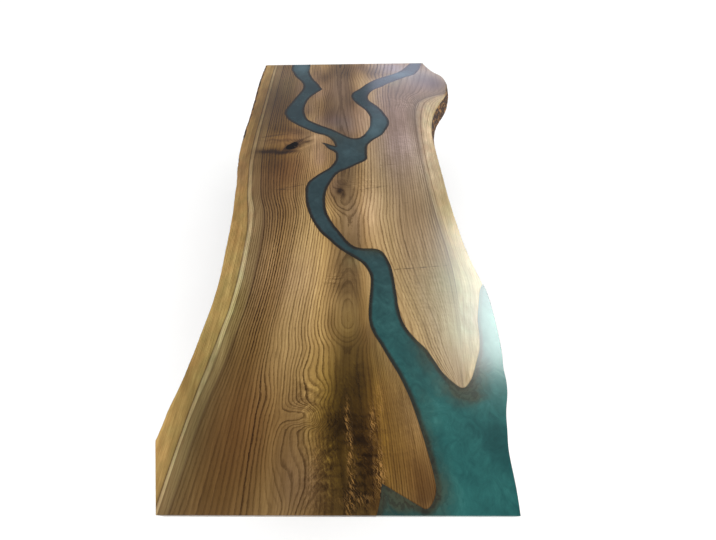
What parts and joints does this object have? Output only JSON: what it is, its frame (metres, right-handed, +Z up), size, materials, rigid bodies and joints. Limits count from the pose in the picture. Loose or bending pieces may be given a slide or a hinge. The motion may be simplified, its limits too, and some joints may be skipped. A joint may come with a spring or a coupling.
{
  "type": "river table",
  "caption": "Live-edge wood dining table with a cast teal resin river through the top, on closed rectangular steel leg frames with screw-adjustable levelling feet.",
  "frame": {"origin": "on the floor under the middle of the table's bounding box", "axes": "+Z up, +Y along the table away from the near end in the picture, +X to the right in the picture"},
  "size_m": [0.9849, 2.1, 0.76],
  "materials": {
    "walnut": "satin clear coat over straight and figured walnut grain, honey sapwood bands at the live edges",
    "river_resin": "polished semi-opaque teal cast resin with cloudy swirls",
    "knot_resin": "polished dark brown resin filling a knot hole",
    "frame_steel": "fine-textured matte black powder coat",
    "channel_steel": "matte black powder coat",
    "fastener_steel": "zinc-plated steel",
    "insert_brass": "plain brass",
    "pad_nylon": "moulded black nylon"
  },
  "bodies": {
    "table": {"left_slab": "walnut", "far_centre_slab": "walnut", "right_slab": "walnut", "river_resin": "river_resin", "knot_fill": "knot_resin", "front_left_post": "frame_steel", "front_right_post": "frame_steel", "front_top_rail": "frame_steel", "front_floor_rail": "frame_steel", "front_mount_plate": "frame_steel", "rear_left_post": "frame_steel", "rear_right_post": "frame_steel", "rear_top_rail": "frame_steel", "rear_floor_rail": "frame_steel", "rear_mount_plate": "frame_steel", "front_plate_bolts": "fastener_steel", "front_plate_washers": "fastener_steel", "front_plate_inserts": "insert_brass", "rear_plate_bolts": "fastener_steel", "rear_plate_washers": "fastener_steel", "rear_plate_inserts": "insert_brass", "stiffener_front": "channel_steel", "stiffener_screws_front": "fastener_steel", "stiffener_inserts_front": "insert_brass", "stiffener_middle": "channel_steel", "stiffener_screws_middle": "fastener_steel", "stiffener_inserts_middle": "insert_brass", "stiffener_rear": "channel_steel", "stiffener_screws_rear": "fastener_steel", "stiffener_inserts_rear": "insert_brass", "foot_nut_front_left": "fastener_steel", "foot_nut_front_right": "fastener_steel", "foot_nut_rear_left": "fastener_steel", "foot_nut_rear_right": "fastener_steel"},
    "foot_pad_front_left": {"foot_pad_front_left": "pad_nylon"},
    "foot_stud_front_left": {"foot_stud_front_left": "fastener_steel"},
    "foot_pad_front_right": {"foot_pad_front_right": "pad_nylon"},
    "foot_stud_front_right": {"foot_stud_front_right": "fastener_steel"},
    "foot_pad_rear_left": {"foot_pad_rear_left": "pad_nylon"},
    "foot_stud_rear_left": {"foot_stud_rear_left": "fastener_steel"},
    "foot_pad_rear_right": {"foot_pad_rear_right": "pad_nylon"},
    "foot_stud_rear_right": {"foot_stud_rear_right": "fastener_steel"}
  },
  "joints": [
    {"name": "foot_height_front_left", "type": "slide", "parent": "table", "child": "foot_pad_front_left", "axis": [0, 0, -1], "range_m": [0, 0.012]},
    {"name": "foot_screw_front_left", "type": "hinge", "parent": "foot_pad_front_left", "child": "foot_stud_front_left", "pos_m": [-0.3, -0.62, 0.03], "axis": [0, 0, -1], "range_deg": [0, 2880]},
    {"name": "foot_height_front_right", "type": "slide", "parent": "table", "child": "foot_pad_front_right", "axis": [0, 0, -1], "range_m": [0, 0.012]},
    {"name": "foot_screw_front_right", "type": "hinge", "parent": "foot_pad_front_right", "child": "foot_stud_front_right", "pos_m": [0.3, -0.62, 0.03], "axis": [0, 0, -1], "range_deg": [0, 2880]},
    {"name": "foot_height_rear_left", "type": "slide", "parent": "table", "child": "foot_pad_rear_left", "axis": [0, 0, -1], "range_m": [0, 0.012]},
    {"name": "foot_screw_rear_left", "type": "hinge", "parent": "foot_pad_rear_left", "child": "foot_stud_rear_left", "pos_m": [-0.3, 0.62, 0.03], "axis": [0, 0, -1], "range_deg": [0, 2880]},
    {"name": "foot_height_rear_right", "type": "slide", "parent": "table", "child": "foot_pad_rear_right", "axis": [0, 0, -1], "range_m": [0, 0.012]},
    {"name": "foot_screw_rear_right", "type": "hinge", "parent": "foot_pad_rear_right", "child": "foot_stud_rear_right", "pos_m": [0.3, 0.62, 0.03], "axis": [0, 0, -1], "range_deg": [0, 2880]}
  ],
  "couplings": [
    {"joint": "foot_screw_front_left", "follows": "foot_height_front_left", "rad_per_m": 4188.8},
    {"joint": "foot_screw_front_right", "follows": "foot_height_front_right", "rad_per_m": 4188.8},
    {"joint": "foot_screw_rear_left", "follows": "foot_height_rear_left", "rad_per_m": 4188.8},
    {"joint": "foot_screw_rear_right", "follows": "foot_height_rear_right", "rad_per_m": 4188.8}
  ]
}
